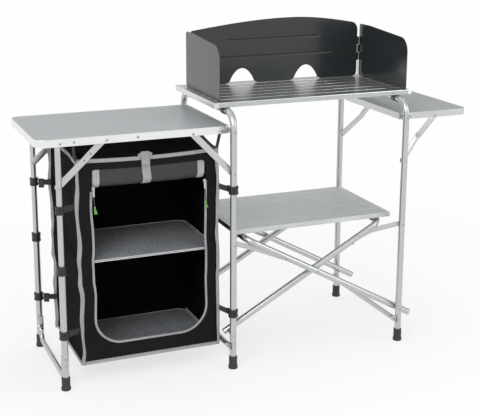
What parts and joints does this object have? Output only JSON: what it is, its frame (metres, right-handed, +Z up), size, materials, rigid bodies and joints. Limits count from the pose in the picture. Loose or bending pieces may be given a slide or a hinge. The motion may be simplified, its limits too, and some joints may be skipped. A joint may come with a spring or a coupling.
{
  "type": "camping cupboard",
  "caption": "Folding camping kitchen stand with scissor base, slatted cook top and shelf, windscreen, hinged wing, and a side table with a hanging cloth cupboard.",
  "frame": {"origin": "on the floor, under the middle of the overall outline", "axes": "+X runs along the front from the side table to the wing, +Y runs to the rear, +Z is up"},
  "size_m": [1.382, 0.4608, 1.0148],
  "materials": {
    "aluminium": "satin anodised tube",
    "slat": "satin slats",
    "wingboard": "grey laminate, matt",
    "tableboard": "grey laminate, matt",
    "screen": "dark grey coated sheet",
    "rubber": "black rubber",
    "plastic": "black, moulded",
    "cloth": "black woven cloth",
    "boardcloth": "grey mottled lining board",
    "webbing": "light grey webbing",
    "green": "green cord and tab"
  },
  "bodies": {
    "stand": {"left_frame_tube": "aluminium", "left_frame_stretcher": "aluminium", "left_front_foot": "rubber", "left_rear_foot": "rubber", "side_table_rim": "aluminium", "side_table_panel": "tableboard", "stand_brace_front": "aluminium", "stand_brace_rear": "aluminium", "cupboard_shell": "cloth", "stand_clip_upper_front": "plastic", "stand_clip_upper_rear": "plastic", "stand_clip_lower_front": "plastic", "stand_clip_lower_rear": "plastic"},
    "scissor_a": {"cross_frame_a": "aluminium"},
    "scissor_b": {"cross_frame_b": "aluminium"},
    "shelf": {"lower_shelf": "slat"},
    "right_frame": {"right_frame_tube": "aluminium", "right_frame_stretcher": "aluminium", "right_front_foot": "rubber", "right_rear_foot": "rubber"},
    "left_links": {"link_left_front": "aluminium", "link_left_rear": "aluminium"},
    "right_links": {"link_right_front": "aluminium", "link_right_rear": "aluminium"},
    "cook_top": {"cook_top": "slat", "windscreen_back": "screen", "windscreen_pin_left": "aluminium", "windscreen_pin_right": "aluminium"},
    "windscreen_left": {"windscreen_left": "screen"},
    "windscreen_right": {"windscreen_right": "screen"},
    "wing": {"wing_rim": "aluminium", "wing_panel": "wingboard"},
    "wing_lower_braces": {"wing_lower_brace_front": "aluminium", "wing_lower_brace_rear": "aluminium"},
    "wing_upper_braces": {"wing_upper_brace_front": "aluminium", "wing_upper_brace_rear": "aluminium"},
    "side_legs": {"upper_leg_front": "aluminium", "upper_leg_rear": "aluminium"},
    "lower_legs": {"lower_leg_front": "aluminium", "lower_leg_rear": "aluminium", "leg_collar_front": "plastic", "leg_collar_rear": "plastic", "side_front_foot": "rubber", "side_rear_foot": "rubber", "side_leg_stretcher": "aluminium", "side_clip_lower_front": "plastic", "side_clip_lower_rear": "plastic"},
    "side_clips": {"side_clip_upper_front": "plastic", "side_clip_upper_rear": "plastic"},
    "side_lower_braces": {"side_lower_brace_front": "aluminium", "side_lower_brace_rear": "aluminium"},
    "side_upper_braces": {"side_upper_brace_front": "aluminium", "side_upper_brace_rear": "aluminium"},
    "bottom_board": {"cupboard_bottom_board": "boardcloth"},
    "middle_board": {"cupboard_middle_board": "boardcloth"},
    "door_roll": {"rolled_door": "cloth", "door_tie": "webbing"},
    "zip_left_slider": {"zip_slider_left": "green"},
    "zip_right_slider": {"zip_slider_right": "green"}
  },
  "joints": [
    {"name": "scissor_fold", "type": "hinge", "parent": "stand", "child": "scissor_a", "pos_m": [-0.124, 0, 0.108], "axis": [0, -1, 0], "range_deg": [0, 46]},
    {"name": "scissor_cross", "type": "hinge", "parent": "scissor_a", "child": "scissor_b", "pos_m": [0.16244, 0, 0.26573], "axis": [0, -1, 0], "range_deg": [-93, 1]},
    {"name": "right_frame_turn", "type": "hinge", "parent": "scissor_b", "child": "right_frame", "pos_m": [0.449, 0, 0.108], "axis": [0, -1, 0], "range_deg": [-1, 47]},
    {"name": "shelf_turn", "type": "hinge", "parent": "scissor_b", "child": "shelf", "pos_m": [-0.07221, 0, 0.395], "axis": [0, -1, 0], "range_deg": [-1, 47]},
    {"name": "left_link_turn", "type": "hinge", "parent": "stand", "child": "left_links", "pos_m": [-0.116, 0, 0.391], "axis": [0, -1, 0], "range_deg": [-1, 98.25]},
    {"name": "right_link_turn", "type": "hinge", "parent": "right_frame", "child": "right_links", "pos_m": [0.449, 0, 0.391], "axis": [0, -1, 0], "range_deg": [-98.33, 1]},
    {"name": "cook_top_lift", "type": "slide", "parent": "stand", "child": "cook_top", "axis": [0, 0, 1], "range_m": [-0.001, 0.042]},
    {"name": "wing_fold", "type": "hinge", "parent": "right_frame", "child": "wing", "pos_m": [0.476, 0, 0.731], "axis": [0, -1, 0], "range_deg": [-90, 0]},
    {"name": "wing_brace_lower", "type": "hinge", "parent": "right_frame", "child": "wing_lower_braces", "pos_m": [0.449, 0, 0.595], "axis": [0, -1, 0], "range_deg": [-1, 67.75]},
    {"name": "wing_brace_upper", "type": "hinge", "parent": "wing", "child": "wing_upper_braces", "pos_m": [0.571, 0, 0.7253], "axis": [0, -1, 0], "range_deg": [-1, 3.11]},
    {"name": "windscreen_left_fold", "type": "hinge", "parent": "cook_top", "child": "windscreen_left", "pos_m": [-0.139, 0.132, 0.8103], "axis": [0, 0, 1], "range_deg": [0, 90]},
    {"name": "windscreen_right_fold", "type": "hinge", "parent": "cook_top", "child": "windscreen_right", "pos_m": [0.4635, 0.132, 0.8103], "axis": [0, 0, 1], "range_deg": [-90, 0]},
    {"name": "side_leg_fold", "type": "hinge", "parent": "stand", "child": "side_legs", "pos_m": [-0.628, 0, 0.73], "axis": [0, -1, 0], "range_deg": [0, 62]},
    {"name": "lower_leg_slide", "type": "slide", "parent": "side_legs", "child": "lower_legs", "axis": [0, 0, 1], "range_m": [-0.002, 0.1643]},
    {"name": "side_clip_slide", "type": "slide", "parent": "side_legs", "child": "side_clips", "axis": [0, 0, 1], "range_m": [-0.002, 0.0215]},
    {"name": "side_brace_lower", "type": "hinge", "parent": "side_legs", "child": "side_lower_braces", "pos_m": [-0.628, 0, 0.6035], "axis": [0, -1, 0], "range_deg": [-75.88, 1]},
    {"name": "side_brace_upper", "type": "hinge", "parent": "stand", "child": "side_upper_braces", "pos_m": [-0.491, 0, 0.73], "axis": [0, -1, 0], "range_deg": [-1, 135.25]},
    {"name": "bottom_board_lift", "type": "slide", "parent": "stand", "child": "bottom_board", "axis": [0, 0, 1], "range_m": [-0.002, 0.4673], "deforming": ["cupboard_shell"]},
    {"name": "middle_board_lift", "type": "slide", "parent": "stand", "child": "middle_board", "axis": [0, 0, 1], "range_m": [-0.002, 0.2347]},
    {"name": "door_lift", "type": "slide", "parent": "stand", "child": "door_roll", "axis": [0, 0, 1], "range_m": [-0.002, 0.0561]},
    {"name": "zip_left", "type": "slide", "parent": "door_roll", "child": "zip_left_slider", "axis": [0, 0, 1], "range_m": [-0.3, 0]},
    {"name": "zip_right", "type": "slide", "parent": "door_roll", "child": "zip_right_slider", "axis": [0, 0, 1], "range_m": [-0.3, 0]}
  ],
  "couplings": [
    {"joint": "scissor_cross", "follows": "scissor_fold", "ratio": -2},
    {"joint": "right_frame_turn", "follows": "scissor_fold", "ratio": 1},
    {"joint": "shelf_turn", "follows": "scissor_fold", "ratio": 1},
    {"joint": "left_link_turn", "follows": "scissor_fold", "ratio": 2.1142},
    {"joint": "right_link_turn", "follows": "scissor_fold", "ratio": -2.1158},
    {"joint": "cook_top_lift", "follows": "scissor_fold", "m_per_rad": 0.05},
    {"joint": "wing_brace_lower", "follows": "wing_fold", "ratio": -0.74162},
    {"joint": "wing_brace_upper", "follows": "wing_fold", "ratio": -0.02341},
    {"joint": "lower_leg_slide", "follows": "side_leg_fold", "m_per_rad": 0.15},
    {"joint": "side_clip_slide", "follows": "side_leg_fold", "m_per_rad": 0.018},
    {"joint": "side_brace_lower", "follows": "side_leg_fold", "ratio": -1.2078},
    {"joint": "side_brace_upper", "follows": "side_leg_fold", "ratio": 2.1654},
    {"joint": "bottom_board_lift", "follows": "side_leg_fold", "m_per_rad": 0.43},
    {"joint": "middle_board_lift", "follows": "side_leg_fold", "m_per_rad": 0.215},
    {"joint": "door_lift", "follows": "side_leg_fold", "m_per_rad": 0.05}
  ]
}
